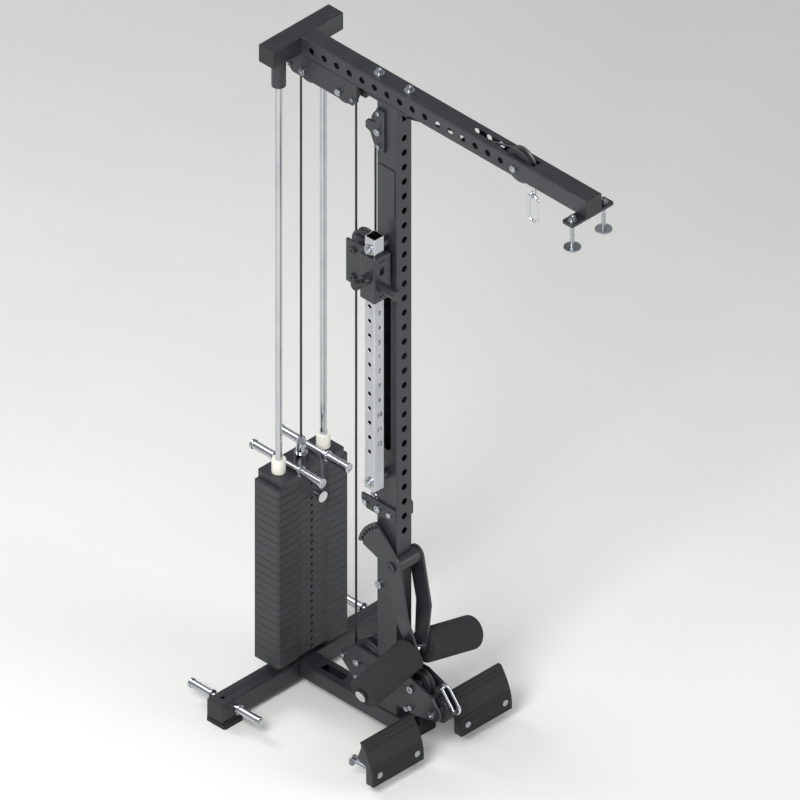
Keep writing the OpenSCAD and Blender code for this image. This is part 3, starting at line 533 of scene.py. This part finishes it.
# %% Wind the lanyard
GUIDE = [(14.6, 800), (40, 802), (66, 800), (80, 789), (84, 765), (84, 735), (84, 705), (84, 676.7)]
PITCH, COIL, WIRE = 5.5, 3.2, 2.2
PER_TURN = 8
LOOK = 6
spans = [math.dist(a, b) for a, b in zip(GUIDE, GUIDE[1:])]
starts = [sum(spans[:i]) for i in range(len(spans) + 1)]


def along_guide(distance):
    """The guide line's point at a distance from its start."""
    i = next((k for k in range(len(spans)) if distance <= starts[k + 1]), len(spans) - 1)
    share = (distance - starts[i]) / spans[i]
    return Vector(GUIDE[i]).lerp(Vector(GUIDE[i + 1]), share)


def lanyard_path():
    """The wound cord's centre line, in metres. Looking ahead and behind rounds the guide's corners."""
    total = starts[-1]
    steps = math.floor(total / PITCH) * PER_TURN
    path = []
    for i in range(steps + 1):
        here = total * i / steps
        ahead, behind = along_guide(min(here + LOOK, total)), along_guide(max(here - LOOK, 0))
        centre, run = (ahead + behind) / 2, (ahead - behind).normalized()
        turn = math.radians(360 * i / PER_TURN)
        out = COIL * min(1, i / PER_TURN, (steps - i) / PER_TURN)
        path.append(place(centre.x - out * math.sin(turn) * run.y, centre.y + out * math.sin(turn) * run.x,
                          out * math.cos(turn)))
    return path


def smooth_path(path, parts=2):
    """More points between, on a Catmull-Rom curve through the given ones."""
    fine = []
    for i in range(len(path) - 1):
        p0, p1, p2, p3 = path[max(i - 1, 0)], path[i], path[i + 1], path[min(i + 2, len(path) - 1)]
        for k in range(parts):
            t = k / parts
            fine.append(0.5 * (2 * p1 + (p2 - p0) * t + (2 * p0 - 5 * p1 + 4 * p2 - p3) * t * t
                               + (3 * p1 - p0 - 3 * p2 + p3) * t ** 3))
    return fine + [path[-1]]


lanyard_line = smooth_path(lanyard_path())
lanyard = tube_piece("pin_lanyard", lanyard_line, WIRE, cord_skin, None, sides=3)
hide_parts("pin_tether")
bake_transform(lanyard)

# %% [markdown]
# ## Numbers on the rail
# The rail's holes are numbered so that a user can find their place again.
# They are plain printed figures on its front face. A picture of them could
# be laid on the steel, but a text made a mesh stays sharp at any distance.
# It is turned to stand upright facing the user, and set a hair proud.

# %% Print the numbers
RAIL_X = -79.0
RAIL_FACE = 391.0
DIGIT = 21.0
INK = 0.05
BOLD = 0.5
FIGURES = 13
TOP_FIGURE_Z = 1631.0
THIRD_FIGURE_Z = 1481.5
HOLE_PITCH = 50.0


def figure_height(number):
    """The height of a figure's middle, between two of the rail's holes."""
    return TOP_FIGURE_Z if number == 0 else THIRD_FIGURE_Z - HOLE_PITCH * (number - 3)


def print_figure(work, number):
    """Adds a figure to a bmesh, on the front face of the rail."""
    letters = bpy.data.curves.new("figure", "FONT")
    letters.body = str(number)
    letters.size = DIGIT * MM
    letters.align_x = "CENTER"
    letters.align_y = "CENTER"
    letters.extrude = INK * MM
    letters.offset = BOLD * MM
    drawn = bpy.data.objects.new("figure", letters)
    bpy.context.scene.collection.objects.link(drawn)
    earlier = len(work.verts)
    work.from_mesh(drawn.to_mesh())
    drawn.to_mesh_clear()
    bpy.data.objects.remove(drawn)
    bpy.data.curves.remove(letters)
    work.verts.ensure_lookup_table()
    upright = Matrix.Rotation(math.radians(90), 4, "X")
    spot = Matrix.Translation(place(RAIL_FACE + INK, figure_height(number), RAIL_X))
    bmesh.ops.transform(work, matrix=spot @ upright, verts=work.verts[earlier:])


figures = bmesh.new()
for number in range(FIGURES):
    print_figure(figures, number)
rail_numbers = finish_piece(figures, "rail_numbers", number_ink, "frame")
print("figures", len(rail_numbers.data.polygons), "faces")

# %% [markdown]
# ## Studio
# A pale floor, one large soft lamp ahead and to the left, a weaker one to
# the right, one behind and an even pale world. The paint is black, so it
# needs broad soft sources to show its edges without burning the chrome.

# %% Floor, lamps and world
FLOOR_HALF = 9.0
floor_work = bmesh.new()
bmesh.ops.create_grid(floor_work, x_segments=1, y_segments=1, size=FLOOR_HALF)
floor_mesh = bpy.data.meshes.new("studio_floor")
floor_work.to_mesh(floor_mesh)
floor_work.free()
floor = bpy.data.objects.new("studio_floor", floor_mesh)
floor.location = (0.0, 2.0, 0.0)
bpy.context.scene.collection.objects.link(floor)
floor_paint = surface("pale studio floor", ("#e2e2df", "#e6e6e3"),
                      patch_mm=900, rough=(0.75, 0.85), grain_mm=12, height_mm=0.02)
floor_mesh.materials.append(floor_paint)


def soft_lamp(name, spot, aim, size, power):
    """An area lamp that looks from one point to another, in metres and watts."""
    lamp = bpy.data.lights.new(name, "AREA")
    lamp.size = size
    lamp.energy = power
    holder = bpy.data.objects.new(name, lamp)
    bpy.context.scene.collection.objects.link(holder)
    holder.location = spot
    holder.rotation_euler = (Vector(aim) - Vector(spot)).to_track_quat("-Z", "Y").to_euler()


soft_lamp("key lamp", spot=(-3.6, -1.2, 4.0), aim=(0, 0, 1.1), size=2.2, power=250)
soft_lamp("fill lamp", spot=(1.8, -4.0, 2.2), aim=(0, 0, 1.0), size=2.0, power=70)
soft_lamp("back lamp", spot=(-0.8, 3.8, 3.8), aim=(0, 0, 1.2), size=2.2, power=80)
world = bpy.data.worlds.new("studio")
bpy.context.scene.world = world
world.use_nodes = True
world.node_tree.nodes["Background"].inputs["Color"].default_value = linear("#e9ebee")
world.node_tree.nodes["Background"].inputs["Strength"].default_value = 0.5
print("studio lit by", len(bpy.data.lights), "lamps")

# %% [markdown]
# ## Camera
# The reference is drawn in isometric view, so the camera is orthographic: it
# looks down the diagonal of a cube, from the user's left, and its scale is
# the height of the picture in metres.

# %% Camera
PICTURE_HEIGHT = 2.2472
PICTURE_MIDDLE = Vector((0.0451, 0.1638, 1.100))
CAMERA_DISTANCE = 8.0
view_from = Vector((-1.0, -1.0, 1.0)).normalized()
camera_data = bpy.data.cameras.new("camera")
camera_data.type = "ORTHO"
camera_data.ortho_scale = PICTURE_HEIGHT
camera = bpy.data.objects.new("camera", camera_data)
bpy.context.scene.collection.objects.link(camera)
camera.location = PICTURE_MIDDLE + view_from * CAMERA_DISTANCE
camera.rotation_euler = (-view_from).to_track_quat("-Z", "Y").to_euler()
bpy.context.scene.camera = camera
bpy.context.scene.view_settings.view_transform = "Standard"
print("camera at", [round(v, 2) for v in camera.location])
